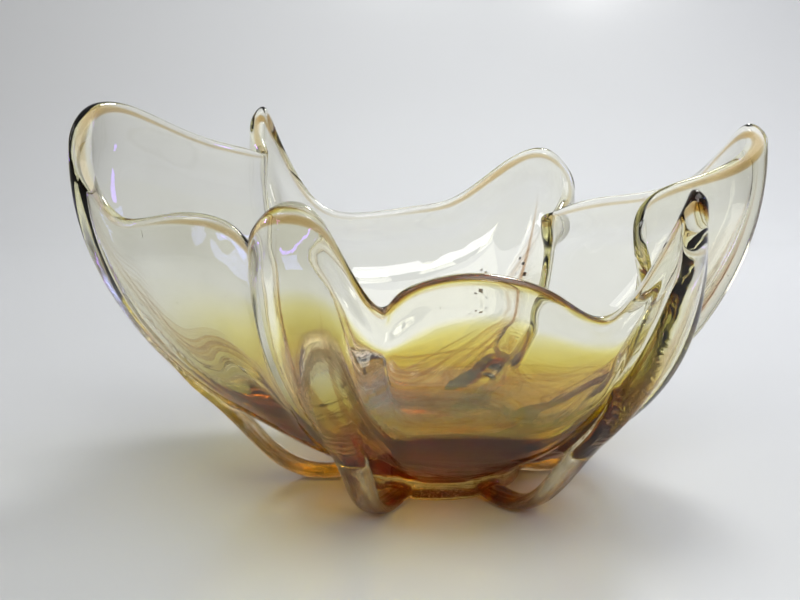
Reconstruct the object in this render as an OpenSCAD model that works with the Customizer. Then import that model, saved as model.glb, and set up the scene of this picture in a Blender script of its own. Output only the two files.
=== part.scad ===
// Hand-worked art glass bowl: a lobed bowl of clear glass over an amber lining, with six ribs that
// hug its fins, leave the wall low down and curl under it as feet. X runs over the left and right
// fins, -Y faces the low front of the lip, +Z is up, and the origin is on the table under the bowl.

/* [Overall size] */
// Span of the bowl over its left and right fins
bowl_span = 340; // [300:1:380]
// Height of the tallest fin over the table
bowl_height = 186; // [165:1:205]

/* [Walls] */
// Thickness of the clear glass at the lip
lip_wall = 4.2; // [3.4:0.1:5.2]
// Thickness of the clear glass under the floor of the bowl
floor_wall = 7; // [5.5:0.5:9]
// Thickness of the amber glass on the floor of the bowl
amber_floor = 13; // [9:0.5:16]
// Thickness of the amber glass at its thin upper edge
amber_edge = 0.8; // [0.6:0.1:1.2]
// Rows of the wall, out of twelve, that the amber glass covers
amber_rows = 7; // [5:1:8]
// Radius that the wall is drawn out to as it leaves the base
heel_r = 86; // [80:1:90]
// Height of the wall as it leaves the base
heel_h = 27; // [24:1:32]

/* [Base] */
// Radius of the round base pad
pad_r = 42; // [38:1:44]
// Height of the base pad
pad_h = 11; // [9:1:13]
// Radius of the rounded edge of the base pad
pad_edge = 3; // [1:0.5:4]

/* [Ribs] */
// Thickness of a rib where it leaves the wall
rib_t = 9; // [7:0.5:11]
// Half the width of a rib's free leg
leg_half = 7; // [6:0.5:8]
// Half the thickness of a rib's free leg
leg_depth = 4; // [3.4:0.2:4.6]
// Radius of the ring that the feet stand on
foot_r = 59; // [56:1:62]
// Gap between the end of a leg and the base pad
leg_gap = 1.4; // [1.2:0.1:1.8]

/* [Hidden] */

CLEAR = "#e6e3c8";
AMBER = "#b5762b";
STRAW = "#d9c98e";

// The lip as drawn at the usual span and height. A row is the angle at which the wall leaves the
// base, then the angle, radius and height of the lip above it.
USUAL_SPAN = 340;
USUAL_HEIGHT = 186;
FRONT_LEFT_LIP = [
    [215, 213, 134, 141],
    [226, 224, 124, 139],
    [232, 230, 121, 124],
    [238, 234, 134, 137],
    [243, 243, 149, 151],
    [249, 251, 148, 150],
    [254, 254, 134, 129],
    [259, 258, 120, 106],
];
FRONT_LIP = [
    [264, 261, 121, 117],
    [274, 274, 126, 125],
    [284, 289, 126, 118],
    [291, 300, 125, 101],
];
FRONT_RIGHT_LIP = [
    [297, 304, 132, 112],
    [302, 305, 146, 136],
    [308, 306, 158, 156],
    [314, 310, 156, 150],
    [321, 315, 147, 122],
    [330, 325, 119, 103],
    [339, 337, 107, 102],
];
RIGHT_LIP = [
    [346, 348, 101, 117],
    [353, 350, 98, 134],
    [358, 355, 107, 144],
    [364, 363, 148, 153],
    [369, 367, 163, 165],
    [373, 370, 158, 172],
    [378, 375, 150, 156],
    [384, 381, 147, 142],
    [393, 391, 138, 132],
    [403, 402, 122, 128],
];
BACK_LIP = [
    [411, 409, 108, 123],
    [416, 412, 107, 119],
    [419, 416, 124, 113],
    [424, 418, 165, 127],
    [429, 424, 156, 152],
    [436, 433, 149, 142],
    [444, 444, 132, 121],
    [455, 454, 126, 118],
    [467, 468, 124, 115],
];
BACK_LEFT_LIP = [
    [476, 478, 132, 117],
    [481, 483, 146, 140],
    [486, 486, 165, 176],
    [491, 491, 160, 160],
    [496, 492, 140, 150],
    [505, 501, 136, 155],
    [516, 514, 138, 162],
    [529, 528, 148, 176],
];
LEFT_LIP = [
    [538, 537, 158, 184],
    [544, 544, 169, 180],
    [549, 548, 169, 158],
    [555, 552, 155, 133],
    [563, 560, 143, 135],
];
LIP = concat(FRONT_LEFT_LIP, FRONT_LIP, FRONT_RIGHT_LIP, RIGHT_LIP, BACK_LIP, BACK_LEFT_LIP, LEFT_LIP);

// The wall is a grid: three columns from one lip point to the next, and twelve rows from base to lip.
STEPS = 3;
ROWS = 12;
COLS = len(LIP) * STEPS;
TURN = 360;

// A rib covers two columns each side of the crest of its fin.
RIB_SIDE = 2;
LEG_RINGS = 9;

function unit(v) = v / norm(v);
function mix(a, b, t) = a * (1 - t) + b * t;
function bezier(a, b, c, d, t) =
    a * pow(1 - t, 3) + 3 * b * t * pow(1 - t, 2) + 3 * c * t * t * (1 - t) + d * pow(t, 3);
function catmull(a, b, c, d, t) =
    (2 * b + (c - a) * t + (2 * a - 5 * b + 4 * c - d) * t * t + (3 * b - a - 3 * c + d) * pow(t, 3)) / 2;

// Lip point k as [angle at the base, x, y, z], with the angle running on past each full turn.
function lip_knot(k) =
    let (p = LIP[(k + len(LIP)) % len(LIP)])
    let (r = p[2] * bowl_span / USUAL_SPAN)
    [p[0] + TURN * floor(k / len(LIP)), r * cos(p[1]), r * sin(p[1]), p[3] * bowl_height / USUAL_HEIGHT];

// The lip above column i, as a smooth closed curve through the lip points.
function lip_at(i) =
    let (k = floor(i / STEPS))
    catmull(lip_knot(k - 1), lip_knot(k), lip_knot(k + 1), lip_knot(k + 2), i / STEPS - k);

// The outside of the wall on one meridian, from the base at t = 0 to the lip at t = 1. The fins,
// which are the tall stretches, swell a little further out than the hollows between them.
SHOULDER = 0.54;
SWELL = 3;
FIN_SWELL = 0.05;
FIN_FROM = 100;
function wall_at(lip, t) =
    let (out = [cos(lip[0]), sin(lip[0]), 0])
    let (r = norm([lip[1], lip[2]]))
    let (swell = 1 + (SWELL + FIN_SWELL * max(0, lip[3] - FIN_FROM)) / r)
    bezier(pad_r * out + [0, 0, pad_h],
           heel_r * out + [0, 0, heel_h],
           [lip[1] * swell, lip[2] * swell, lip[3] * SHOULDER],
           [lip[1], lip[2], lip[3]],
           t);

// Grids are lists of columns, and a column is a list of points from the base up.
OUTSIDE = [for (i = [0 : COLS - 1]) let (lip = lip_at(i)) [for (j = [0 : ROWS]) wall_at(lip, j / ROWS)]];
function at_column(grid, i) = grid[(i + COLS) % COLS];
function at(grid, i, j) = at_column(grid, i)[j];

// Outward normal of the wall, which turns to straight down at the base.
function wall_normal(i, j) =
    unit(cross(at(OUTSIDE, i + 1, j) - at(OUTSIDE, i - 1, j),
               at(OUTSIDE, i, min(j + 1, ROWS)) - at(OUTSIDE, i, max(j - 1, 0))));
function into_wall(i, j) = unit(mix(-wall_normal(i, j), [0, 0, 1], pow(1 - j / ROWS, 3)));

// Inside of the clear glass, and inside of the amber glass on it. Each is eased along its rings,
// because soft glass runs into the grooves of the fins.
function clear_t(j) = mix(floor_wall, lip_wall, sqrt(j / ROWS));
function amber_t(j) = amber_edge + (amber_floor - amber_edge) * pow(1 - j / amber_rows, 2);
function eased(grid, passes) =
    passes == 0 ? grid :
    eased([for (i = [0 : COLS - 1]) (at_column(grid, i - 1) + 2 * grid[i] + at_column(grid, i + 1)) / 4],
          passes - 1);
INSIDE = eased([for (i = [0 : COLS - 1])
                [for (j = [0 : ROWS]) OUTSIDE[i][j] + clear_t(j) * into_wall(i, j)]], 2);
LINING = eased([for (i = [0 : COLS - 1])
                [for (j = [0 : amber_rows]) INSIDE[i][j] + amber_t(j) * into_wall(i, j)]], 2);
function ring(grid, j) = [for (column = grid) column[j]];

// The rounded top of the lip, midway between outside and inside.
LIP_ROUND = 0.4;
LIP_TOP = [for (i = [0 : COLS - 1])
           (OUTSIDE[i][ROWS] + INSIDE[i][ROWS]) / 2
           + lip_wall * LIP_ROUND * unit(OUTSIDE[i][ROWS] - OUTSIDE[i][ROWS - 1])];

// A closed skin through a list of rings, with a point at each end. Quads are cut from (k, m) to
// (k + 1, m + 1), so that two skins over the same grid meet face to face.
module skin(rings, first, last, turned) {
    count = len(rings[0]);
    top = len(rings) - 1;
    sides = [for (m = [0 : top - 1]) for (k = [0 : count - 1])
             let (n = (k + 1) % count)
             each [[m * count + k, (m + 1) * count + n, m * count + n],
                   [m * count + k, (m + 1) * count + k, (m + 1) * count + n]]];
    ends = [for (k = [0 : count - 1])
            let (n = (k + 1) % count)
            each [[(top + 1) * count, k, n], [(top + 1) * count + 1, top * count + n, top * count + k]]];
    faces = concat(sides, ends);
    polyhedron(concat([for (r = rings) each r], [first, last]),
               turned ? [for (f = faces) [f[2], f[1], f[0]]] : faces);
}

module clear_casing() {
    color(CLEAR)
        skin(concat([for (j = [0 : ROWS]) ring(OUTSIDE, j)],
                    [LIP_TOP],
                    [for (j = [ROWS : -1 : 0]) ring(INSIDE, j)]),
             [0, 0, pad_h],
             [0, 0, pad_h + floor_wall],
             false);
}

module amber_lining() {
    color(AMBER)
        skin(concat([for (j = [0 : amber_rows]) ring(LINING, j)],
                    [for (j = [amber_rows : -1 : 0]) ring(INSIDE, j)]),
             [0, 0, pad_h + floor_wall + amber_floor],
             [0, 0, pad_h + floor_wall],
             true);
}

PAD_SIDES = 96;
PAD_EDGE_SIDES = 32;
module foot_pad() {
    color(AMBER)
        rotate_extrude($fn = PAD_SIDES)
            union() {
                square([pad_r - pad_edge, pad_h]);
                translate([0, pad_edge]) square([pad_r, pad_h - pad_edge]);
                translate([pad_r - pad_edge, pad_edge]) circle(pad_edge, $fn = PAD_EDGE_SIDES);
            }
}

// Column nearest to a given angle at the base. The angle is within two turns of any column's.
HALF_TURN = TURN / 2;
function column_at(angle) =
    let (gap = [for (i = [0 : COLS - 1]) abs((lip_at(i)[0] - angle + 2 * TURN + HALF_TURN) % TURN - HALF_TURN)])
    [for (i = [0 : COLS - 1]) if (gap[i] == min(gap)) i][0];

// Thickness of a rib on the wall: full where the leg starts, thinner up the fin, and thin at its sides.
RIB_SIDE_SHARE = 0.2;
RIB_TOP_SHARE = 0.25;
function rib_thick(s, j, low, high) =
    rib_t * mix(1, RIB_TOP_SHARE, (j - low) / (high - low))
    * (1 - (1 - RIB_SIDE_SHARE) * pow(s / RIB_SIDE, 2));

// One ring of a rib that hugs the wall: along the wall, then back over the outside of the rib.
function hug_ring(c, j, low, high) =
    concat([for (s = [-RIB_SIDE : RIB_SIDE]) at(OUTSIDE, c + s, j)],
           [for (s = [RIB_SIDE : -1 : -RIB_SIDE])
            at(OUTSIDE, c + s, j) + wall_normal(c + s, j) * rib_thick(s, j, low, high)]);

// One ring of the free leg, an oval of half size w by h round its middle point p, across the leg's
// direction d. The foot is ground flat where it would pass below the table.
SPOKE = 36;
function ground(p) = [p[0], p[1], max(p[2], 0)];
function leg_ring(p, d, side, w, h) =
    let (n = unit(cross(side, d)))
    concat([for (s = [-RIB_SIDE : RIB_SIDE]) ground(p + side * w * sin(SPOKE * s) - n * h * cos(SPOKE * s))],
           [for (s = [RIB_SIDE : -1 : -RIB_SIDE])
            ground(p + side * w * sin(SPOKE * s) + n * h * cos(SPOKE * s))]);
function middle(points) = [for (a = [0 : 2]) [for (p = points) p[a]] * [for (p = points) 1]] / len(points);

// A rib: its leg runs from beside the pad out over the foot and up to the wall at row RIB_LOW,
// turning to lie square on the wall as it goes, and from there it hugs the crest of the fin to row
// RIB_HIGH. The knee is the pull point of the leg's curve, which passes well inside it.
RIB_LOW = 5;
RIB_HIGH = 11;
LEG_END_SHARE = 0.42;
LEG_PULL_SHARE = 0.42;
KNEE_SHARE = 1.36;
KNEE_DROP = 4;
FOOT_LIFT = 0.6;
LOOK_AHEAD = 0.01;
module rib(crest, foot, low = RIB_LOW, high = RIB_HIGH) {
    c = column_at(crest);
    out = [cos(foot), sin(foot), 0];
    across = [-sin(foot), cos(foot), 0];
    hugs = [for (j = [low : high]) hug_ring(c, j, low, high)];
    seat = at(OUTSIDE, c + RIB_SIDE, low) - at(OUTSIDE, c - RIB_SIDE, low);
    start = (pad_r + leg_gap) * out + [0, 0, leg_depth + FOOT_LIFT];
    end = middle(hugs[0]);
    climb = unit(middle(hugs[1]) - end);
    reach = norm(end - start) * LEG_PULL_SHARE;
    knee = foot_r * KNEE_SHARE * out - [0, 0, KNEE_DROP];
    function leg_at(t) = bezier(start, knee, end - climb * reach, end, t);
    legs = [for (m = [0 : LEG_RINGS - 1])
            let (t = m / LEG_RINGS)
            leg_ring(leg_at(t),
                     leg_at(t + LOOK_AHEAD) - leg_at(t),
                     unit(mix(across, unit(seat), t)),
                     mix(leg_half, norm(seat) / 2, t * t),
                     mix(leg_depth, rib_t * LEG_END_SHARE, t))];
    skin(concat(legs, hugs), start, middle(hugs[high - low]), true);
}

module rib_left() {
    color(STRAW) rib(547, 186);
}

module rib_back_left() {
    color(STRAW) rib(487, 124);
}

module rib_back() {
    color(STRAW) rib(427, 64);
}

module rib_right() {
    color(STRAW) rib(369, 4);
}

module rib_front_right() {
    color(STRAW) rib(309, 305);
}

module rib_front_left() {
    color(STRAW) rib(246, 243);
}

clear_casing();
amber_lining();
foot_pad();
rib_left();
rib_back_left();
rib_back();
rib_right();
rib_front_right();
rib_front_left();
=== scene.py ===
import math

import bmesh
import bpy
import numpy as np
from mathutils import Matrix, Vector
from mathutils.kdtree import KDTree


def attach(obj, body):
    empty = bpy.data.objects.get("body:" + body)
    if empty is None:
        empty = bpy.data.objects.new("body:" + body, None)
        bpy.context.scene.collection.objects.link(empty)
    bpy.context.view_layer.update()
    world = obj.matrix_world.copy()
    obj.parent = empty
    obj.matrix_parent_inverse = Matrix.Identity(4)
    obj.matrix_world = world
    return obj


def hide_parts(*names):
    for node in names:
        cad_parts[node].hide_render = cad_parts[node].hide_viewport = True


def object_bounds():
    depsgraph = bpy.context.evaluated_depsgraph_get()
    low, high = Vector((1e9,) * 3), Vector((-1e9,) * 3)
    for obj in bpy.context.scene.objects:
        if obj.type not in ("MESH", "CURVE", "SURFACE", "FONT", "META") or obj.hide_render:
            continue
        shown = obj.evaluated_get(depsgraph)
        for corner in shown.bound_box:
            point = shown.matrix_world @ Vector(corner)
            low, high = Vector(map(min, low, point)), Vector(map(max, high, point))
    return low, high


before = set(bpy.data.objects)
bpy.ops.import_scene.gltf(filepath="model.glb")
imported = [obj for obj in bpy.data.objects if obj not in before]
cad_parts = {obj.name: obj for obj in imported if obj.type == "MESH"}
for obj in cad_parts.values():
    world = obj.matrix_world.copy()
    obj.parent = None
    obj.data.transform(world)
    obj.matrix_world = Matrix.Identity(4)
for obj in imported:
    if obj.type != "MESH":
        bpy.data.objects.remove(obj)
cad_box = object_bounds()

scene = bpy.context.scene

# Camera. A short telephoto look at the low front of the bowl, from a little above its lip and
# about two spans away.
VIEW_AIM = Vector((-0.018, 0.0, 0.088))
VIEW_DISTANCE = 0.600
VIEW_RISE = math.radians(12)
camera = bpy.data.objects.new("camera", bpy.data.cameras.new("camera"))
camera.data.lens = 55.35
camera.data.sensor_width = 36.0
camera.location = VIEW_AIM + VIEW_DISTANCE * Vector((0, -math.cos(VIEW_RISE), math.sin(VIEW_RISE)))
camera.rotation_euler = (math.radians(90) - VIEW_RISE, 0, 0)
scene.collection.objects.link(camera)
scene.camera = camera


# Wall. The bowl is a thick gather of glass, opened out and pulled by hand into a lip of six lobes
# and six fins. Each meridian leaves the base, swings out over the heel and climbs to the lip.
MM = 0.001
# The box of the plain part when the lip is as it is below, and a hair more, so that this skin stays
# inside that box.
USUAL_SPAN, USUAL_HEIGHT = 336, 185.6
# A row is the angle at which the wall leaves the base, then the angle, radius and height of the lip
# above it, in degrees and millimetres.
FRONT_LEFT_LIP = [[215, 213, 134, 141], [226, 224, 124, 139], [232, 230, 121, 124], [238, 234, 134, 137],
                  [243, 243, 149, 151], [249, 251, 148, 150], [254, 254, 134, 129], [259, 258, 120, 106]]
FRONT_LIP = [[264, 261, 121, 117], [274, 274, 126, 125], [284, 289, 126, 118], [291, 300, 125, 101]]
FRONT_RIGHT_LIP = [[297, 304, 132, 112], [302, 305, 146, 136], [308, 306, 158, 156], [314, 310, 156, 150],
                   [321, 315, 147, 122], [330, 325, 119, 103], [339, 337, 107, 102]]
RIGHT_LIP = [[346, 348, 101, 117], [353, 350, 98, 134], [358, 355, 107, 144], [364, 363, 148, 153],
             [369, 367, 163, 165], [373, 370, 158, 172], [378, 375, 150, 156], [384, 381, 147, 142],
             [393, 391, 138, 132], [403, 402, 122, 128]]
BACK_LIP = [[411, 409, 108, 123], [416, 412, 107, 119], [419, 416, 124, 113], [424, 418, 165, 127],
            [429, 424, 156, 152], [436, 433, 149, 142], [444, 444, 132, 121], [455, 454, 126, 118],
            [467, 468, 124, 115]]
BACK_LEFT_LIP = [[476, 478, 132, 117], [481, 483, 146, 140], [486, 486, 165, 176], [491, 491, 160, 160],
                 [496, 492, 140, 150], [505, 501, 136, 155], [516, 514, 138, 162], [529, 528, 148, 176]]
LEFT_LIP = [[538, 537, 158, 184], [544, 544, 169, 180], [549, 548, 169, 158], [555, 552, 155, 133],
            [563, 560, 143, 135]]
LIP = np.array(FRONT_LEFT_LIP + FRONT_LIP + FRONT_RIGHT_LIP + RIGHT_LIP + BACK_LIP + BACK_LEFT_LIP
               + LEFT_LIP, float)
LIP_DROP = 2.6
LIP_STEPS, WALL_ROWS = 8, 57
PAD_R, PAD_H, PAD_EDGE = 42, 11, 3
HEEL_R, HEEL_H, SHOULDER_SHARE = 86, 27, 0.54
LOBE_SWELL, FIN_SWELL, FIN_FROM = 3, 0.05, 100
WALL_EASING = 8


class Value:
    """A node's output that can be used in sums, each of which adds its node."""

    def __init__(self, recipe, socket):
        self.recipe, self.socket = recipe, socket

    def out(self, name):
        return Value(self.recipe, self.socket.node.outputs[name])

    def maths(self, operation, *others):
        return self.recipe.node("ShaderNodeMath", {"operation": operation}, self, *others)

    def vector(self, operation, *others):
        return self.recipe.node("ShaderNodeVectorMath", {"operation": operation}, self, *others)

    def is_vector(self):
        return self.socket.type == "VECTOR"

    def __add__(self, other):
        return self.vector("ADD", other) if self.is_vector() else self.maths("ADD", other)

    def __sub__(self, other):
        return self.vector("SUBTRACT", other) if self.is_vector() else self.maths("SUBTRACT", other)

    def __mul__(self, other):
        if not self.is_vector():
            return self.maths("MULTIPLY", other)
        return self.recipe.node("ShaderNodeVectorMath", {"operation": "SCALE"}, self, Scale=other)

    def __truediv__(self, other):
        return self.maths("DIVIDE", other)

    def __radd__(self, other):
        return self + other

    def __rmul__(self, other):
        return self * other

    def __rsub__(self, other):
        return self.maths("MULTIPLY", -1) + other

    def between(self, low, high):
        """0 below `low`, 1 above `high`, and a soft rise between them."""
        return self.recipe.node("ShaderNodeMapRange", {"interpolation_type": "SMOOTHSTEP"}, self,
                                From_Min=low, From_Max=high)


class Recipe:
    """A node tree, filled one node at a time."""

    def __init__(self, tree):
        self.tree = tree

    def node(self, kind, settings=None, *values, **named):
        node = self.tree.nodes.new(kind)
        for setting, value in (settings or {}).items():
            if setting == "stops":
                ramp = node.color_ramp.elements
                while len(ramp) < len(value):
                    ramp.new(0.5)
                for stop, (place, colour) in zip(ramp, value):
                    stop.position, stop.color = place, (*colour, 1)
            else:
                setattr(node, setting, value)
        inputs = [s for s in node.inputs if s.enabled]
        for socket, value in zip(inputs, values):
            self.fill(socket, value)
        for name, value in named.items():
            self.fill(next(s for s in inputs if s.name == name.replace("_", " ")), value)
        outputs = [s for s in node.outputs if s.enabled]
        return Value(self, outputs[0]) if outputs else None

    def fill(self, socket, value):
        if isinstance(value, Value):
            self.tree.links.new(value.socket, socket)
        else:
            socket.default_value = value

    def attribute(self, name, data_type="FLOAT_VECTOR"):
        return self.node("GeometryNodeInputNamedAttribute", {"data_type": data_type}, name)


def geometry_recipe(name, sizes):
    """A new geometry tree with those named inputs, and the group input's outputs."""
    tree = bpy.data.node_groups.new(name, "GeometryNodeTree")
    tree.interface.new_socket("Geometry", in_out="INPUT", socket_type="NodeSocketGeometry")
    for size, kind in {**sizes, "Glass": "Material"}.items():
        tree.interface.new_socket(size, in_out="INPUT", socket_type="NodeSocket" + kind)
    tree.interface.new_socket("Geometry", in_out="OUTPUT", socket_type="NodeSocketGeometry")
    recipe = Recipe(tree)
    return recipe, recipe.node("NodeGroupInput")


def finish_recipe(recipe, shape, given):
    real = recipe.node("GeometryNodeRealizeInstances", {}, shape)
    painted = recipe.node("GeometryNodeSetMaterial", {}, real, Material=given.out("Glass"))
    recipe.node("NodeGroupOutput", {}, painted)


def grown(line, recipe, sizes):
    """The plain mesh that a geometry recipe makes of a mesh."""
    piece = bpy.data.objects.new(recipe.tree.name, line)
    scene.collection.objects.link(piece)
    growth = piece.modifiers.new(recipe.tree.name, "NODES")
    growth.node_group = recipe.tree
    for socket in recipe.tree.interface.items_tree:
        if socket.name in sizes:
            growth[socket.identifier] = sizes[socket.name]
    bpy.context.view_layer.update()
    mesh = bpy.data.meshes.new_from_object(piece.evaluated_get(bpy.context.evaluated_depsgraph_get()))
    bpy.data.objects.remove(piece)
    return mesh


def line_mesh(name, points, closed, attributes):
    """A line of edges through points in millimetres, with vectors stored on its points."""
    mesh = bpy.data.meshes.new(name)
    count = len(points)
    edges = [(k, (k + 1) % count) for k in range(count if closed else count - 1)]
    mesh.from_pydata([tuple(p * MM) for p in points], edges, [])
    for attribute, values in attributes.items():
        stored = mesh.attributes.new(attribute, "FLOAT_VECTOR", "POINT")
        stored.data.foreach_set("vector", np.asarray(values, np.float32).ravel())
    return mesh


def named_glass(name):
    """A new glass of that name and the recipe of its nodes, with no nodes in it yet."""
    glass = bpy.data.materials.new(name)
    glass.use_nodes = True
    glass.node_tree.nodes.clear()
    return glass, Recipe(glass.node_tree)


wall, given = geometry_recipe("wall", {
    "Columns per lip point": "Int", "Rows": "Int", "Pad radius": "Float", "Pad height": "Float",
    "Heel radius": "Float", "Heel height": "Float", "Shoulder share": "Float", "Swell": "Float",
    "Fin swell": "Float", "Fin from": "Float"})
lip_line = wall.node("GeometryNodeMeshToCurve", {}, given.out("Geometry"))
lip_line = wall.node("GeometryNodeCurveSplineType", {"spline_type": "CATMULL_ROM"}, lip_line)
lip_line = wall.node("GeometryNodeSetSplineResolution", {}, lip_line,
                     Resolution=given.out("Columns per lip point"))
lip_points = wall.node("GeometryNodeCurveToPoints", {"mode": "EVALUATED"}, lip_line)
columns = wall.node("GeometryNodeAttributeDomainSize", {"component": "POINTCLOUD"}, lip_points)
sheet = wall.node("GeometryNodeMeshGrid", {}, Vertices_X=columns, Vertices_Y=given.out("Rows"))
index = wall.node("GeometryNodeInputIndex")
column = ((index + 0.5) / given.out("Rows")).maths("FLOOR")
climb = (index - column * given.out("Rows")) / (given.out("Rows") - 1)
sample = {"data_type": "FLOAT_VECTOR"}
top = wall.node("GeometryNodeSampleIndex", sample, lip_points,
                Value=wall.node("GeometryNodeInputPosition"), Index=column)
out = wall.node("GeometryNodeSampleIndex", sample, lip_points,
                Value=wall.attribute("base direction"), Index=column).vector("NORMALIZE")
height = wall.node("ShaderNodeSeparateXYZ", {}, top).out("Z")
radius = wall.node("ShaderNodeVectorMath", {"operation": "LENGTH"},
                   wall.node("ShaderNodeVectorMath", {"operation": "MULTIPLY"}, top, (1, 1, 0))).out("Value")
swell = (given.out("Swell") + given.out("Fin swell") * (height - given.out("Fin from")).maths("MAXIMUM", 0)
         ) / radius + 1
base = out * given.out("Pad radius") + wall.node("ShaderNodeCombineXYZ", {}, Z=given.out("Pad height"))
heel = out * given.out("Heel radius") + wall.node("ShaderNodeCombineXYZ", {}, Z=given.out("Heel height"))
shoulder = wall.node("ShaderNodeVectorMath", {"operation": "MULTIPLY"}, top,
                     wall.node("ShaderNodeCombineXYZ", {}, swell, swell, given.out("Shoulder share")))
left = 1 - climb
point = (base * (left * left * left) + heel * (3 * climb * left * left)
         + shoulder * (3 * climb * climb * left) + top * (climb * climb * climb))
finish_recipe(wall, wall.node("GeometryNodeSetPosition", {}, sheet, Position=point), given)

span_scale = (cad_box[1][0] - cad_box[0][0]) / MM / USUAL_SPAN
height_scale = (cad_box[1][2] - cad_box[0][2]) / MM / USUAL_HEIGHT
lip_turn, base_turn = np.radians(LIP[:, 1]), np.radians(LIP[:, 0])
knots = np.c_[span_scale * LIP[:, 2] * np.cos(lip_turn), span_scale * LIP[:, 2] * np.sin(lip_turn),
              height_scale * LIP[:, 3] - LIP_DROP]
base_way = np.c_[np.cos(base_turn), np.sin(base_turn), 0 * base_turn]
wall_mesh = grown(line_mesh("lip", knots, True, {"base direction": base_way}), wall, {
    "Columns per lip point": LIP_STEPS, "Rows": WALL_ROWS, "Pad radius": PAD_R * MM,
    "Pad height": PAD_H * MM, "Heel radius": HEEL_R * MM, "Heel height": HEEL_H * MM,
    "Shoulder share": SHOULDER_SHARE, "Swell": LOBE_SWELL * MM, "Fin swell": FIN_SWELL,
    "Fin from": FIN_FROM * MM})
COLUMNS = len(LIP) * LIP_STEPS
outside = np.array([v.co for v in wall_mesh.vertices]).reshape(COLUMNS, WALL_ROWS, 3) / MM
climb = np.linspace(0, 1, WALL_ROWS)
foot_turn = np.arctan2(outside[:, 0, 1], outside[:, 0, 0])

# Thickness. The wall is clear glass over an amber lining, which is thick on the floor and thins out
# halfway up. The inside is smoother than the outside, because soft glass runs into the grooves.
LIP_WALL, FLOOR_WALL, LIP_BEAD = 4.4, 7, 1.4
AMBER_FLOOR, AMBER_TOP = 13, 7 / 12
INNER_EASING = 12


def smooth_step(low, high, x):
    t = np.clip((x - low) / (high - low), 0, 1)
    return t * t * (3 - 2 * t)


def eased(grid, passes):
    """The grid smoothed along its rings."""
    for _ in range(passes):
        grid = (np.roll(grid, 1, 0) + 2 * grid + np.roll(grid, -1, 0)) / 4
    return grid


def unit(v):
    return v / np.linalg.norm(v, axis=-1, keepdims=True)


def outward(grid):
    """Normals of a grid of columns."""
    return unit(np.cross(np.roll(grid, -1, 0) - np.roll(grid, 1, 0), np.gradient(grid, axis=1)))


outside = eased(outside, WALL_EASING)
wall_normal = outward(outside)
lift = ((1 - climb)**3)[None, :, None]
into_wall = unit(-wall_normal * (1 - lift) + np.array([0, 0, 1]) * lift)
clear_t = FLOOR_WALL + (LIP_WALL - FLOOR_WALL) * np.sqrt(climb) + LIP_BEAD * smooth_step(0.9, 0.985, climb)
amber_t = AMBER_FLOOR * np.clip(1 - climb / AMBER_TOP, 0, 1)**2


def crest_column(angle):
    gap = foot_turn - math.radians(angle)
    return int(np.argmin(np.abs(np.arctan2(np.sin(gap), np.cos(gap)))))


def along_ring(grid, start):
    """Distance of every point from column `start`, along its own ring."""
    turned = np.roll(grid, -start, 0)
    step = np.linalg.norm(np.roll(turned, -1, 0) - turned, axis=2)
    forward = np.vstack([np.zeros((1, step.shape[1])), np.cumsum(step, 0)[:-1]])
    return np.roll(np.minimum(forward, step.sum(0)[None] - forward), start, 0)


# The lip is rolled thicker over the fins, and pinched into knobs in the notches between them.
# Each is the angle at the base, its reach each way along the lip, and how much thicker it is.
FIN_ROLLS = [(547, 30, 2.6), (487, 22, 2.8), (427, 24, 1.4), (369, 26, 2.6), (309, 22, 2.0), (246, 26, 2.2)]
KNOBS = [(261, 9, 3.0), (229, 10, 1.6), (479, 9, 2.2), (417, 10, 2.4), (350, 10, 2.2), (556, 9, 1.8),
         (295, 8, 1.4)]
extra = np.zeros((COLUMNS, WALL_ROWS))
for angle, reach, thick in FIN_ROLLS:
    near = np.clip(1 - (along_ring(outside, crest_column(angle)) / reach)**2, 0, 1)**1.5
    extra += thick * near * smooth_step(0.84, 0.97, climb)[None]
knob = np.zeros((COLUMNS, WALL_ROWS))
for angle, reach, thick in KNOBS:
    near = np.clip(1 - (along_ring(outside, crest_column(angle)) / reach)**2, 0, 1)**1.2
    knob += thick * near * smooth_step(0.87, 0.95, climb)[None]
between = eased(outside + into_wall * (clear_t[None] + extra + knob)[:, :, None], INNER_EASING)
inside = eased(between + into_wall * amber_t[None, :, None], INNER_EASING)

# Ribs. A thick cord of glass runs down the crest of each fin, leaves the wall low down and curls
# under it as a foot. It is trailed on hot, so it melts into the wall with no seam, and the wall is
# drawn in behind each leg, which leaves a small window.

# Each is the angle at the base of its fin's crest, and the angle of its foot.
RIBS = {
    "rib_left": (547, 186), "rib_back_left": (487, 124), "rib_back": (427, 64),
    "rib_right": (369, 4), "rib_front_right": (309, 305), "rib_front_left": (246, 243),
}
RIB_SWELL, RIB_TOP_SHARE = 8.55, 0.25
RIB_HALF, RIB_SPREAD = 11, 5
RIB_EASING, KNOB_OUT = 5, 0.15
LEG_SEAT = 5 / 12
LEG_HALF, LEG_DEPTH, LEG_SIDES = 6.8, 3.6, 36
LEG_HALF_GAIN, LEG_DEPTH_GAIN = 1.5, 0.2
FOOT_R, FOOT_LIFT, FOOT_MELT = 59, 0.4, 1.5
KNEE_SHARE, KNEE_DROP, LEG_PULL = 1.36, 4, 0.42
WINDOW_DEPTH, WINDOW_HALF = 8, 17
RIDGE, TAIL_SINK, TAIL_ROWS = 4.3, 6.5, 9

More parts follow.
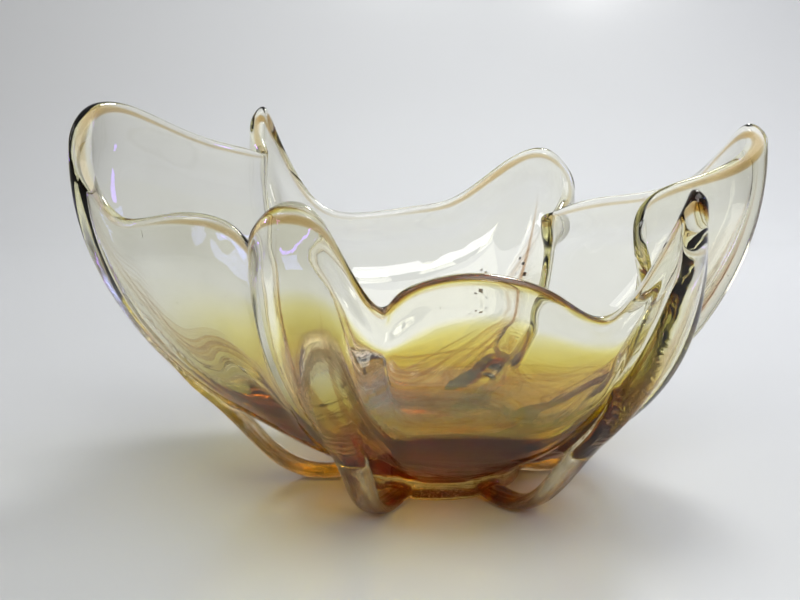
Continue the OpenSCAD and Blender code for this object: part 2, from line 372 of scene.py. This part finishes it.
rise = smooth_step(0.26, 0.41, climb) * (1 - (1 - RIB_TOP_SHARE) * smooth_step(0.4, 1.0, climb))
window_rise = smooth_step(0.02, 0.1, climb) * (1 - smooth_step(0.24, 0.36, climb))
swelling = np.zeros((COLUMNS, WALL_ROWS))
hollow = np.zeros((COLUMNS, WALL_ROWS))
for crest, foot in RIBS.values():
    reach = along_ring(outside, crest_column(crest)) / (RIB_HALF + RIB_SPREAD * climb)[None]
    swelling = np.maximum(swelling, RIB_SWELL * np.clip(1 - reach**2, 0, 1)**1.5 * rise[None])
    reach = along_ring(outside, crest_column(foot)) / WINDOW_HALF
    hollow = np.maximum(hollow, WINDOW_DEPTH * np.clip(1 - reach**2, 0, 1)**1.5 * window_rise[None])
ribbed = outside + wall_normal * eased((swelling - hollow + knob * KNOB_OUT)[:, :, None], RIB_EASING)


def skin_mesh(name, rings, first, last):
    """A closed skin through rings of points in millimetres, with a pole at each end."""
    count = len(rings[0])
    points = np.vstack([np.asarray(first)[None], *rings, np.asarray(last)[None]]) * MM
    k = np.arange(count)
    n = (k + 1) % count
    faces = [(0, 1 + b, 1 + a) for a, b in zip(k, n)]
    for m in range(len(rings) - 1):
        low, high = 1 + m * count, 1 + (m + 1) * count
        faces += list(zip(low + k, low + n, high + n, high + k))
    top = 1 + (len(rings) - 1) * count
    faces += [(top + a, top + b, len(points) - 1) for a, b in zip(k, n)]
    mesh = bpy.data.meshes.new(name)
    mesh.from_pydata([tuple(p) for p in points], [], [tuple(int(v) for v in f) for f in faces])
    facing_out(mesh)
    return mesh


def facing_out(mesh):
    bm = bmesh.new()
    bm.from_mesh(mesh)
    bmesh.ops.recalc_face_normals(bm, faces=bm.faces)
    bm.to_mesh(mesh)
    bm.free()
    mesh.shade_smooth()


def placed(name, mesh, glass):
    """The mesh as a piece of that glass."""
    mesh.materials.clear()
    mesh.materials.append(glass)
    piece = bpy.data.objects.new(name, mesh)
    scene.collection.objects.link(piece)
    return piece


def disc_rings(radii, heights, turn):
    return [np.c_[r * np.cos(turn), r * np.sin(turn), np.full(len(turn), z)] for r, z in zip(radii, heights)]


# Flow. Streaks in the glass run round the base and turn up the two sides of each rib. They ripple
# the skin, and two values stored on it tell the glass how they run and how strong they are.
FLOOR_DISH, LIP_RINGS, FLOOR_RINGS = 6.5, 9, 11
STREAM_RISE, STREAM_HALF, STREAM_LINES = 0.42, 21, 26
FLANK, FLANK_HALF = 12, 5
WHORLS, RIPPLE_OUT, RIPPLE_IN, RIPPLE_SHIFT = 62, 0.26, 0.2, 9
ROUND_STEP, FLOOR_STREAM, POLE_STREAM = 1.5, 0.35, -9
edge_turn = np.radians(np.linspace(-90, 0, 6))
pad_r = np.r_[6, 14, 24, 33, PAD_R - PAD_EDGE + PAD_EDGE * np.cos(edge_turn), PAD_R, PAD_R, PAD_R]
pad_z = np.r_[0.5, 0.45, 0.3, 0.1, PAD_EDGE + PAD_EDGE * np.sin(edge_turn), 5, 7, 9]
floor_share = np.linspace(1, 0, FLOOR_RINGS + 2)[1:-1]

off_rib = np.min([along_ring(outside, crest_column(crest)) for crest, _ in RIBS.values()], axis=0)
wall_stream = (climb[None] - STREAM_RISE * np.exp(-(off_rib / STREAM_HALF)**2)
               * smooth_step(0.02, 0.3, climb)[None])
base_streaky = (1 - smooth_step(0.12, 0.46, climb))[None] * np.ones((COLUMNS, 1))
rib_streaky = np.exp(-((off_rib - FLANK) / FLANK_HALF)**2) * (1 - smooth_step(0.45, 0.85, climb))[None]
wall_streaky = np.maximum(base_streaky, rib_streaky)
whorl = wall_stream * WHORLS + 1.6 * np.sin(2 * foot_turn + 1)[:, None]
ripple = (np.sin(whorl) + 0.6 * np.sin(1.7 * whorl + 2 * np.sin(3 * foot_turn)[:, None])) * wall_streaky
ripple *= smooth_step(0.0, 0.08, climb)[None]
ribbed += wall_normal * (RIPPLE_OUT * ripple)[:, :, None]
inside += wall_normal * (RIPPLE_IN * np.roll(ripple, RIPPLE_SHIFT, 0))[:, :, None]

# The skin runs from under the pad up the outside, over the rolled lip, down the inside and across
# the dished floor.
bead_mid = (ribbed[:, -1] + inside[:, -1]) / 2
bead_half = (ribbed[:, -1] - inside[:, -1]) / 2
bead_r = np.linalg.norm(bead_half, axis=1, keepdims=True)
bead_up = ribbed[:, -1] - ribbed[:, -2]
bead_up = unit(bead_up - bead_half * (bead_up * bead_half).sum(1, keepdims=True) / bead_r**2)
rows = np.r_[np.zeros(len(pad_r), int), np.arange(WALL_ROWS), np.full(LIP_RINGS, WALL_ROWS - 1),
             np.arange(WALL_ROWS - 1, -1, -1), np.zeros(FLOOR_RINGS, int)]
bowl_stream = np.stack([np.repeat(np.cos(foot_turn)[:, None], len(rows), 1) * ROUND_STEP,
                        np.repeat(np.sin(foot_turn)[:, None], len(rows), 1) * ROUND_STEP,
                        wall_stream[:, rows] * STREAM_LINES], 2)
bowl_stream[:, -FLOOR_RINGS:, 2] -= np.linspace(0, FLOOR_STREAM, FLOOR_RINGS) * STREAM_LINES
bowl_stream = np.vstack([[[0, 0, 0]], *bowl_stream.swapaxes(0, 1), [[0, 0, POLE_STREAM]]])
bowl_streaky = np.r_[1, wall_streaky[:, rows].T.ravel(), 1]


def floor_rings(edge, dish):
    return [np.c_[edge[:, :2] * s, edge[:, 2] - dish * (1 - s**2)] for s in floor_share]


def round_fold(low, high, passes):
    """Soften the skin's fold between those two rings."""
    for _ in range(passes):
        grid[:, low:high] = (grid[:, low - 1:high - 1] + 2 * grid[:, low:high]
                             + grid[:, low + 1:high + 1]) / 4


grid = np.stack(disc_rings(pad_r, pad_z, foot_turn)
                + [ribbed[:, j] for j in range(WALL_ROWS)]
                + [bead_mid + bead_half * math.cos(a) + bead_up * bead_r * math.sin(a)
                   for a in np.radians(np.linspace(18, 162, LIP_RINGS))]
                + [inside[:, j] for j in range(WALL_ROWS - 1, -1, -1)]
                + floor_rings(inside[:, 0], FLOOR_DISH), 1)
floor_edge = grid.shape[1] - FLOOR_RINGS
round_fold(len(pad_r) - 3, len(pad_r) + 4, 6)
round_fold(floor_edge - 7, floor_edge + 8, 40)
bowl = skin_mesh("bowl", [grid[:, m] for m in range(grid.shape[1])],
                 (0, 0, 0.5), (0, 0, inside[:, 0, 2].mean() - FLOOR_DISH))

cord, given = geometry_recipe("cord_of_glass", {
    "Sides": "Int", "Share": "Float", "Lowest": "Float", "Melt": "Float"})
hoop = cord.node("GeometryNodeCurvePrimitiveCircle", {}, given.out("Sides"), Radius=1.0)
hoop = cord.node("GeometryNodeStoreNamedAttribute", {"data_type": "FLOAT", "domain": "POINT"}, hoop,
                 Name="step", Value=cord.node("GeometryNodeInputIndex"))
spine = cord.node("GeometryNodeMeshToCurve", {}, given.out("Geometry"))
tube = cord.node("GeometryNodeCurveToMesh", {}, spine, Profile_Curve=hoop, Fill_Caps=True)
turn = cord.attribute("step", "FLOAT") / given.out("Sides") * (2 * math.pi)
point = cord.attribute("middle") + (cord.attribute("across") * turn.maths("COSINE")
                                    + cord.attribute("through") * turn.maths("SINE")) * given.out("Share")
place = cord.node("ShaderNodeSeparateXYZ", {}, point)
point = cord.node("ShaderNodeCombineXYZ", {}, place.out("X"), place.out("Y"),
                  place.out("Z").maths("SMOOTH_MAX", given.out("Lowest"), given.out("Melt")))
finish_recipe(cord, cord.node("GeometryNodeSetPosition", {}, tube, Position=point), given)


def bezier(a, b, c, d, t):
    return a * (1 - t)**3 + 3 * b * t * (1 - t)**2 + 3 * c * t**2 * (1 - t) + d * t**3


def leg_line(crest, foot, taper=0.0):
    """Middle line of a rib from inside the pad, over its foot and up the crest of its fin."""
    column = crest_column(crest)
    out = np.array([math.cos(math.radians(foot)), math.sin(math.radians(foot)), 0])
    seat = round(LEG_SEAT * (WALL_ROWS - 1))
    ridge = outside[column] + wall_normal[column] * RIDGE
    start = (PAD_R - 2) * out + np.array([0, 0, LEG_DEPTH + 0.9])
    end = ridge[seat]
    pull = np.linalg.norm(end - start) * LEG_PULL * unit(ridge[seat + 4] - end)
    knee = FOOT_R * KNEE_SHARE * out - np.array([0, 0, KNEE_DROP])
    line = bezier(start, knee, end - pull, end, np.linspace(0, 1, 48)[:, None])
    sink = np.linspace(0, 1, TAIL_ROWS)[1:]
    rows = seat + np.round(sink * TAIL_ROWS).astype(int)
    tail = outside[column][rows] + wall_normal[column][rows] * (RIDGE - TAIL_SINK * sink**2)[:, None]
    head = start - out * np.linspace(8, 1, 5)[:, None]
    line = np.vstack([head, line, tail])
    way = unit(np.gradient(line, axis=0))
    wall_side = unit(outside[(column + 4) % COLUMNS, seat] - outside[column - 4, seat])
    turned = np.clip(np.linspace(-0.1, 1.2, len(line)), 0, 1)[:, None]
    side = unit(np.array([-out[1], out[0], 0]) * (1 - turned) + wall_side * turned)
    side = unit(side - way * (side * way).sum(1, keepdims=True))
    slim = 1 - taper * smooth_step(0.2, 0.8, turned)
    return line_mesh("leg", line, False, {
        "middle": line * MM,
        "across": side * (LEG_HALF + LEG_HALF_GAIN * turned**2) * slim * MM,
        "through": np.cross(side, way) * (LEG_DEPTH + LEG_DEPTH_GAIN * turned) * slim * MM})


LEG_ROUND, LEG_APART, LEG_ALONG, LEG_FADE = 2.4, 5, 0.05, (30, 62)
legs_mesh = bpy.data.meshes.new("legs")
bm = bmesh.new()
for crest, foot in RIBS.values():
    bm.from_mesh(grown(leg_line(crest, foot), cord, {
        "Sides": LEG_SIDES, "Share": 1.0, "Lowest": FOOT_LIFT * MM, "Melt": FOOT_MELT * MM}))
bm.to_mesh(legs_mesh)
bm.free()
facing_out(legs_mesh)
leg_turn = np.array([step.value for step in legs_mesh.attributes["step"].data]) / LEG_SIDES * 2 * math.pi
leg_up = np.array([v.co.z for v in legs_mesh.vertices]) / MM
leg_stream = np.c_[LEG_ROUND * np.cos(leg_turn) + LEG_APART, LEG_ROUND * np.sin(leg_turn), leg_up * LEG_ALONG]
leg_streaky = 1 - smooth_step(*LEG_FADE, leg_up)
clear = bpy.data.objects.new("clear_casing_glass", bowl)
legs = bpy.data.objects.new("legs", legs_mesh)
parts = KDTree(len(bowl.vertices) + len(legs_mesh.vertices))
for n, v in enumerate([*bowl.vertices, *legs_mesh.vertices]):
    parts.insert(v.co, n)
parts.balance()
for piece in (clear, legs):
    scene.collection.objects.link(piece)
join = clear.modifiers.new("join", "BOOLEAN")
join.operation = "UNION"
join.solver = "MANIFOLD"
join.object = legs
bpy.context.view_layer.update()
joined = bpy.data.meshes.new_from_object(clear.evaluated_get(bpy.context.evaluated_depsgraph_get()))
bpy.data.objects.remove(legs)
bpy.data.objects.remove(clear)

# Seams. Where the legs meet wall and pad, the hot glass has melted into soft fillets. Each pass
# takes the skin near a seam in and then out again, so that the legs keep their thickness.
SEAM_EDGE, SEAM_NEAR, SEAM_FAR, SEAM_PASSES = 2.6, 4.0, 9.0, 70
STEP_IN, STEP_OUT = 0.5, -0.51
TABLE_GAP = 0.05
bm = bmesh.new()
bm.from_mesh(joined)
bmesh.ops.remove_doubles(bm, verts=bm.verts, dist=0.1 * MM)
bmesh.ops.triangulate(bm, faces=bm.faces)
seam = [v.co.copy() for v in bm.verts if parts.find(v.co)[2] > 0.001 * MM]
near = KDTree(len(seam))
for n, p in enumerate(seam):
    near.insert(p, n)
near.balance()
for _ in range(2):
    long_edges = [e for e in bm.edges if e.calc_length() > SEAM_EDGE * MM
                  and near.find((e.verts[0].co + e.verts[1].co) / 2)[2] < SEAM_FAR * MM]
    bmesh.ops.subdivide_edges(bm, edges=long_edges, cuts=1)
    bmesh.ops.triangulate(bm, faces=bm.faces)
bm.to_mesh(joined)
bm.free()
points = np.array([v.co for v in joined.vertices])
gap = np.array([near.find(p)[2] for p in points])
melt = (1 - smooth_step(SEAM_NEAR * MM, SEAM_FAR * MM, gap))[:, None]
pairs = np.array([e.vertices[:] for e in joined.edges])
pairs = pairs[(melt[pairs, 0] > 0).any(1)]
ends, mates = np.r_[pairs[:, 0], pairs[:, 1]], np.r_[pairs[:, 1], pairs[:, 0]]
number = np.maximum(np.bincount(ends, minlength=len(points)), 1)[:, None]
alone = (np.bincount(ends, minlength=len(points)) == 0)[:, None]
for step in [STEP_IN, STEP_OUT] * SEAM_PASSES:
    total = np.stack([np.bincount(ends, points[mates, axis], len(points)) for axis in range(3)], 1)
    points += melt * step * np.where(alone, 0, total / number - points)
points[:, 2] = np.maximum(points[:, 2], TABLE_GAP * MM)
joined.vertices.foreach_set("co", points.ravel())
all_stream, all_streaky = np.vstack([bowl_stream, leg_stream]), np.r_[bowl_streaky, leg_streaky]
stream, streaky = np.zeros((len(points), 3)), np.zeros(len(points))
for k, p in enumerate(points):
    found = parts.find_n(p, 3)
    nearest = [f for f in found if (f[1] < len(bowl_stream)) == (found[0][1] < len(bowl_stream))]
    which = [f[1] for f in nearest]
    weight = 1 / (np.array([f[2] for f in nearest]) + 1e-6)
    weight /= weight.sum()
    stream[k], streaky[k] = weight @ all_stream[which], weight @ all_streaky[which]
joined.attributes.new("stream", "FLOAT_VECTOR", "POINT").data.foreach_set(
    "vector", stream.astype(np.float32).ravel())
joined.attributes.new("streaky", "FLOAT", "POINT").data.foreach_set("value", streaky.astype(np.float32))
joined.update()
joined.shade_smooth()

# Clear glass. It is a faint straw colour, fire-polished and a little wavy, with cords and streaks
# that run round the base and up the ribs. The feet are scuffed where they stand.
glass, g = named_glass("clear_glass")
place = g.node("ShaderNodeTexCoord").out("Object")
xyz = g.node("ShaderNodeSeparateXYZ", {}, place)
stream = g.node("ShaderNodeAttribute", {"attribute_name": "stream"}).out("Vector")
streaky = g.node("ShaderNodeAttribute", {"attribute_name": "streaky"}).out("Fac")
streaks = g.node("ShaderNodeTexNoise", {}, stream, Scale=1.0, Detail=4.0, Roughness=0.62, Distortion=0.5)
broad = g.node("ShaderNodeTexNoise", {}, stream, Scale=0.33, Detail=2.0, Roughness=0.5, Distortion=0.9)
waves = g.node("ShaderNodeTexNoise", {}, place, Scale=22.0, Detail=1.0)
surface = waves + streaks * streaky * 0.75 + broad * streaky * 0.9
bump = g.node("ShaderNodeBump", {}, Strength=0.5, Distance=0.0016, Height=surface)
streak = (streaks.between(0.47, 0.62) * 0.8 + broad.between(0.46, 0.62) * 0.6) * streaky
tint = g.node("ShaderNodeMix", {"data_type": "RGBA"}, Factor=streak, A=(1, 1, 1, 1), B=(0.58, 0.36, 0.15, 1))
grit = g.node("ShaderNodeTexNoise", {}, place, Scale=900.0).between(0.4, 0.7)
scuff = (1 - xyz.out("Z").between(0.0004, 0.0016)) * grit
body = g.node("ShaderNodeBsdfPrincipled", {}, Base_Color=tint, Roughness=scuff * 0.35, IOR=1.5,
              Transmission_Weight=1.0, Normal=bump)
straw = g.node("ShaderNodeVolumeAbsorption", {}, (0.78, 0.74, 0.17, 1), Density=20.0)
g.node("ShaderNodeOutputMaterial", {}, Surface=body, Volume=straw)
clear = placed("clear_casing_glass", joined, glass)
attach(clear, "root")
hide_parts("clear_casing")

# Amber lining. A gather of amber glass was cased in the clear while hot, so the two have no surface
# between them. It is brown where it is thick, under the floor, and golden where it thins out.
def amber_recipe(name, colour, density):
    """Coloured glass inside clear glass, with no surface of its own."""
    glass, a = named_glass(name)
    through = a.node("ShaderNodeBsdfTransparent")
    a.node("ShaderNodeOutputMaterial", {}, Surface=through,
           Volume=a.node("ShaderNodeVolumeAbsorption", {}, colour, Density=density))
    return glass


def cased(name, inner, outer, outer_dish, glass):
    """A closed gather between two sheets of the wall, with dished floors."""
    rings = (floor_rings(inner[:, 0], FLOOR_DISH)[::-1] + list(inner.swapaxes(0, 1))
             + list(outer.swapaxes(0, 1))[::-1] + floor_rings(outer[:, 0], outer_dish))
    return placed(name, skin_mesh(name, rings, (0, 0, inner[:, 0, 2].mean() - FLOOR_DISH),
                                  (0, 0, outer[:, 0, 2].mean() - outer_dish)), glass)


amber = amber_recipe("amber_glass", (0.98, 0.89, 0.01, 1), 600.0)
LINING_INSET, LINING_DEPTH, LINING_EDGE = 0.35, 4.3, 0.05
LINING_TOP, LINING_RISE = 0.62, 0.26
LINING_HIGH, LINING_WIDE = math.radians(282), 0.55
reach = int((LINING_TOP + LINING_RISE) * (WALL_ROWS - 1))
inner = inside[:, :reach] - into_wall[:, :reach] * LINING_INSET
off_front = np.arctan2(np.sin(foot_turn - LINING_HIGH), np.cos(foot_turn - LINING_HIGH))
lining_top = LINING_TOP + LINING_RISE * np.exp(-(off_front / LINING_WIDE)**2)
depth = LINING_EDGE + LINING_DEPTH * (1 - smooth_step(0.2, lining_top[:, None], climb[None, :reach]))
outer = inner - into_wall[:, :reach] * depth[:, :, None]
lining = cased("amber_lining_glass", inner, outer, FLOOR_DISH, amber)
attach(lining, "root")
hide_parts("amber_lining")

# Base gather. Under the lining the floor is one thick lump of brown glass, which the pad and the
# feet were pulled from. Its inner face is banded, as the glass was wound on in turns.
brown = amber_recipe("brown_glass", (0.88, 0.61, 0.36, 1), 88.0)
GATHER_TOP, GATHER_INSET, GATHER_EDGE = 0.36, 0.9, 0.05
BAND_DEPTH, BAND_MOST = 1.1, 2.1
reach = int(GATHER_TOP * (WALL_ROWS - 1))
fade = (1 - smooth_step(0.1, GATHER_TOP, climb[:reach]))[None, :, None]
turn = foot_turn[:, None]
rows = np.arange(reach)[None]
band = (np.sin(1.5 * rows + 0.9 * np.sin(2 * turn + 0.4))
        + 0.6 * np.sin(2.7 * rows + 1.4 * np.sin(turn - 1.0))
        + 0.5 * np.sin(0.8 * rows + 1.1 * np.sin(3 * turn)))
inset = (GATHER_INSET + BAND_DEPTH * (BAND_MOST + band))[:, :, None]
inner = inside[:, :reach] - into_wall[:, :reach] * inset
outer = ribbed[:, :reach] + into_wall[:, :reach] * GATHER_INSET
outer = inner + (outer - inner) * (GATHER_EDGE + (1 - GATHER_EDGE) * fade)
gather = cased("base_gather_glass", inner, outer, 0, brown)
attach(gather, "root")

# Lip thread. Where the lip was sheared and fire-polished, the amber drew up into a thread inside
# the rolled edge.
THREAD_USUAL, THREAD_CHANGE, THREAD_LOW = 0.62, 0.38, 0.25
lip_place = np.linspace(0, 2 * math.pi, COLUMNS, endpoint=False)
drawn = np.sin(7 * lip_place + 1.2 * np.sin(3 * lip_place)) * np.cos(2 * lip_place + 0.7)
drawn = (THREAD_USUAL + THREAD_CHANGE * drawn)[:, None] * MM
thread_mid = bead_mid - bead_up * THREAD_LOW * bead_r
thread_line = line_mesh("lip_thread", thread_mid, True, {
    "middle": thread_mid * MM, "across": bead_half * drawn, "through": bead_up * bead_r * drawn})
gold = amber_recipe("gold_thread", (0.80, 0.62, 0.24, 1), 460.0)
thread = placed("lip_thread_glass", grown(thread_line, cord, {
    "Sides": 12, "Share": 0.5, "Lowest": 0.0, "Melt": 0.0}), gold)
facing_out(thread.data)
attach(thread, "root")

# Threads. Fine threads of darker brown drew out of the gather when the fins were pulled. They lie
# inside the wall, in arcs round the base and in sheaves up both sides of each rib.
THREAD_SIDES, THREAD_END, THREAD_FULLNESS = 8, 0.03, 0.6
SHEAF, SHEAF_TOP, SHEAF_LOSS = 4, 50, 8
ARCS, ARC_FIRST, ARC_STEP, ARC_SWAY = 22, 1.5, 0.85, 1.4
thread_brown = amber_recipe("thread_brown_glass", (0.68, 0.42, 0.12, 1), 820.0)
chance = np.random.default_rng(11)
bm = bmesh.new()


def drawn_thread(columns_at, rows_at, share, wide, thick):
    """A flat thread through the wall at those places on its grid, with pointed ends."""
    low, low_row = np.floor(columns_at).astype(int), np.minimum(rows_at.astype(int), WALL_ROWS - 2)
    part, part_row = (columns_at - low)[:, None], (rows_at - low_row)[:, None]

    def at(grid):
        here, there = low % COLUMNS, (low + 1) % COLUMNS
        return ((grid[here, low_row] * (1 - part) + grid[there, low_row] * part) * (1 - part_row)
                + (grid[here, low_row + 1] * (1 - part) + grid[there, low_row + 1] * part) * part_row)

    line = at(inside) + (at(ribbed) - at(inside)) * share
    through = unit(at(ribbed) - at(inside))
    way = unit(np.gradient(line, axis=0))
    across = unit(np.cross(through, way))
    ends = np.linspace(THREAD_END, math.pi - THREAD_END, len(line))
    taper = np.sin(ends)[:, None] ** THREAD_FULLNESS * MM
    spine = line_mesh("thread", line, False, {
        "middle": line * MM, "across": across * wide * taper,
        "through": np.cross(across, way) * thick * taper})
    bm.from_mesh(grown(spine, cord, {"Sides": THREAD_SIDES, "Share": 1.0, "Lowest": 0.0, "Melt": 0.0}))


for crest, _ in RIBS.values():
    for side in (-1, 1):
        for n in range(SHEAF):
            up = np.linspace(chance.uniform(1, 6), SHEAF_TOP - SHEAF_LOSS * n + chance.uniform(-5, 5), 46)
            lean = (1 - smooth_step(2, 30, up)) * chance.uniform(0.7, 1.3)
            near_rib = 3.5 + 1.6 * n + chance.uniform(-1.2, 1.2)
            drawn_thread(crest_column(crest) + side * (near_rib + (10 + 6 * n) * lean), up,
                         chance.uniform(0.25, 0.75), chance.uniform(0.6, 1.5), chance.uniform(0.3, 0.8))
for n in range(ARCS):
    reach = np.linspace(0, chance.uniform(60, 170), 60)
    sway = np.sin(reach / chance.uniform(18, 34) + chance.uniform(0, 6))
    up = ARC_FIRST + ARC_STEP * n + ARC_SWAY * sway
    drawn_thread(chance.uniform(0, COLUMNS) + reach, np.maximum(up, 0.2),
                 chance.uniform(0.2, 0.8), chance.uniform(0.8, 1.8), chance.uniform(0.3, 0.7))
threads_mesh = bpy.data.meshes.new("brown_threads_glass")
bm.to_mesh(threads_mesh)
bm.free()
facing_out(threads_mesh)
brown_threads = placed("brown_threads_glass", threads_mesh, thread_brown)
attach(brown_threads, "root")

# Foot pad. The amber core of the round pad under the bowl. It was pressed on as a flat bit of
# glass, and is ground flat underneath.
PAD_CORE_R, PAD_CORE_Z = [20, 38.5, 40.6, 41.3, 41.3, 40], [0.9, 0.9, 2.0, 3.5, 9, 10.4]
pad_turn = np.linspace(0, 2 * math.pi, 96, endpoint=False)
pad_brown = amber_recipe("pad_brown_glass", (0.90, 0.86, 0.80, 1), 75.0)
pad = placed("foot_pad_glass", skin_mesh("foot_pad_glass", disc_rings(PAD_CORE_R, PAD_CORE_Z, pad_turn),
                                         (0, 0, PAD_CORE_Z[0]), (0, 0, PAD_CORE_Z[-1])), pad_brown)
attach(pad, "root")
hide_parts("foot_pad")

# Rib cores. Each cord of glass was drawn from the brown gather, so it has a brown core, which is
# thick in the foot and thins out up the fin.
CORE_SIDES, CORE_SHARE, CORE_TAPER, CORE_LIFT = 24, 0.86, 0.9, 0.8
rib_brown = amber_recipe("rib_brown_glass", (0.80, 0.60, 0.34, 1), 145.0)
for node, (crest, foot) in RIBS.items():
    core = grown(leg_line(crest, foot, CORE_TAPER), cord, {
        "Sides": CORE_SIDES, "Share": CORE_SHARE, "Lowest": CORE_LIFT * MM, "Melt": FOOT_MELT * MM})
    core = placed(node + "_glass", core, rib_brown)
    facing_out(core.data)
    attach(core, "root")
    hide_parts(node)

# Seeds. Small round bubbles of air that were caught in the gather and never rose out of it. There
# are more of them low down, where the glass is thick.
seed_recipe, given = geometry_recipe("seeds", {
    "Seeds per area": "Float", "Least size": "Float", "Most size": "Float", "Seed": "Int"})
many = seed_recipe.attribute("seediness", "FLOAT") * given.out("Seeds per area")
spots = seed_recipe.node("GeometryNodeDistributePointsOnFaces", {}, given.out("Geometry"), Density=many,
                         Seed=given.out("Seed"))
ball = seed_recipe.node("GeometryNodeMeshIcoSphere", {}, 1.0, Subdivisions=2)
size = seed_recipe.node("FunctionNodeRandomValue", {"data_type": "FLOAT"}, Min=given.out("Least size"),
                        Max=given.out("Most size"), Seed=given.out("Seed"))
finish_recipe(seed_recipe, seed_recipe.node("GeometryNodeInstanceOnPoints", {}, spots, Instance=ball,
                                            Scale=size), given)
air, a = named_glass("seed_air")
a.node("ShaderNodeOutputMaterial", {}, a.node(
    "ShaderNodeBsdfPrincipled", {}, (1, 1, 1, 1), Roughness=0.02, IOR=0.67, Transmission_Weight=1.0))
SEED_ROWS, SEED_LEAST = 48, 0.12
middle = (ribbed + inside) / 2
layer = bpy.data.meshes.new("seed_layer")
k, m = np.meshgrid(np.arange(COLUMNS), np.arange(SEED_ROWS - 1), indexing="ij")
k, m, n = k.ravel(), m.ravel(), (k.ravel() + 1) % COLUMNS
layer.from_pydata([tuple(p * MM) for p in middle[:, :SEED_ROWS].reshape(-1, 3)], [],
                  [tuple(int(v) for v in f) for f in zip(k * SEED_ROWS + m, n * SEED_ROWS + m,
                                                         n * SEED_ROWS + m + 1, k * SEED_ROWS + m + 1)])
seediness = layer.attributes.new("seediness", "FLOAT", "POINT")
crowding = SEED_LEAST + (1 - climb[:SEED_ROWS])**3
seediness.data.foreach_set("value", np.tile(crowding.astype(np.float32), COLUMNS))
seeds = placed("seeds", grown(layer, seed_recipe, {
    "Seeds per area": 6000.0, "Least size": 0.12 * MM, "Most size": 0.42 * MM, "Seed": 7}), air)
facing_out(seeds.data)
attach(seeds, "root")

# Table. A pale, glossy sheet of card, laid flat under the bowl, that runs up behind it in one
# soft curve.
TABLE_HALF, TABLE_NEAR, TABLE_TOP = 3, -2.0, 3.0
BEND_FROM, BEND_R = 0.7, 0.6
bend = [(BEND_FROM + BEND_R * math.sin(a), BEND_R - BEND_R * math.cos(a))
        for a in np.radians(np.linspace(8, 90, 14))]
bend = [(TABLE_NEAR, 0.0), (BEND_FROM, 0.0), *bend, (BEND_FROM + BEND_R, TABLE_TOP)]
mesh = bpy.data.meshes.new("table")
mesh.from_pydata([(x, y, z) for y, z in bend for x in (-TABLE_HALF, TABLE_HALF)], [],
                 [(2 * k, 2 * k + 1, 2 * k + 3, 2 * k + 2) for k in range(len(bend) - 1)])
mesh.shade_smooth()
table = bpy.data.objects.new("table", mesh)
scene.collection.objects.link(table)
paint = bpy.data.materials.new("table")
paint.use_nodes = True
shader = paint.node_tree.nodes["Principled BSDF"]
shader.inputs["Base Color"].default_value = (0.66, 0.685, 0.70, 1)
shader.inputs["Roughness"].default_value = 0.22
mesh.materials.append(paint)

# Light. A large softbox overhead, a smaller one behind the bowl that shines through it, two weak
# ones at the front and the left, two on the card behind, and two small violet lamps far out at the
# sides. The room is pale above and behind the bowl, and warm and dark behind the camera.
room = bpy.data.worlds.new("room")
scene.world = room
room.use_nodes = True
room.node_tree.nodes.clear()
w = Recipe(room.node_tree)
way = w.node("ShaderNodeSeparateXYZ", {}, w.node("ShaderNodeTexCoord").out("Generated"))
bright = (way.out("Y").between(-0.2, 1.0) * 0.55 + way.out("Z").between(0.1, 0.9) * 0.45
          + way.out("X").between(0.2, 1.0) * 0.1)
walls = w.node("ShaderNodeMix", {"data_type": "RGBA"}, Factor=bright, A=(0.12, 0.088, 0.062, 1),
               B=(0.42, 0.44, 0.455, 1))
w.node("ShaderNodeOutputWorld", {}, w.node("ShaderNodeBackground", {}, walls))


def softbox(name, place, aim, size, power, colour):
    """A lamp at `place` that looks at `aim`, `size` metres wide and high, of `power` watts."""
    light = bpy.data.lights.new(name, "AREA")
    light.shape = "RECTANGLE"
    light.size, light.size_y = size
    light.energy = power
    light.color = colour
    lamp = bpy.data.objects.new(name, light)
    lamp.location = place
    lamp.rotation_euler = (Vector(aim) - Vector(place)).to_track_quat("-Z", "Y").to_euler()
    lamp.visible_camera = False
    scene.collection.objects.link(lamp)


softbox("overhead_light", (0.45, -0.5, 1.3), (0.1, -0.1, 0.0), (1.6, 1.1), 13, (1, 0.995, 0.98))
softbox("back_light", (0.42, 0.75, 1.05), (0.0, -0.05, 0.05), (0.3, 0.3), 8, (1, 0.99, 0.96))
softbox("front_light", (0.5, -1.3, 0.9), (0.1, 0, 0.0), (0.4, 0.25), 2.4, (1, 1, 0.98))
softbox("left_light", (-1.2, -0.2, 0.8), (0, 0, 0.1), (0.3, 0.8), 2, (1, 1, 1))
softbox("backdrop_light", (-0.03, 0.75, 1.0), (-0.05, 1.3, 0.6), (0.2, 0.2), 1.9, (0.99, 1, 0.99))
softbox("cool_light", (1.7, 0.6, 0.7), (0.8, 1.3, 0.5), (0.3, 0.3), 1.6, (0.30, 0.36, 1.0))
softbox("violet_right_light", (1.0, 0.35, 0.35), (0.1, 0, 0.1), (0.04, 0.04), 0.6, (0.30, 0.14, 1.0))
softbox("violet_left_light", (-1.0, 0.45, 0.12), (-0.1, 0, 0.1), (0.03, 0.06), 0.35, (0.30, 0.14, 1.0))

scene.cycles.max_bounces = 32
scene.cycles.transmission_bounces = 28
scene.cycles.transparent_max_bounces = 96
scene.cycles.glossy_bounces = 8
scene.cycles.use_denoising = True
scene.cycles.sample_clamp_indirect = 6
scene.view_settings.view_transform = "Standard"
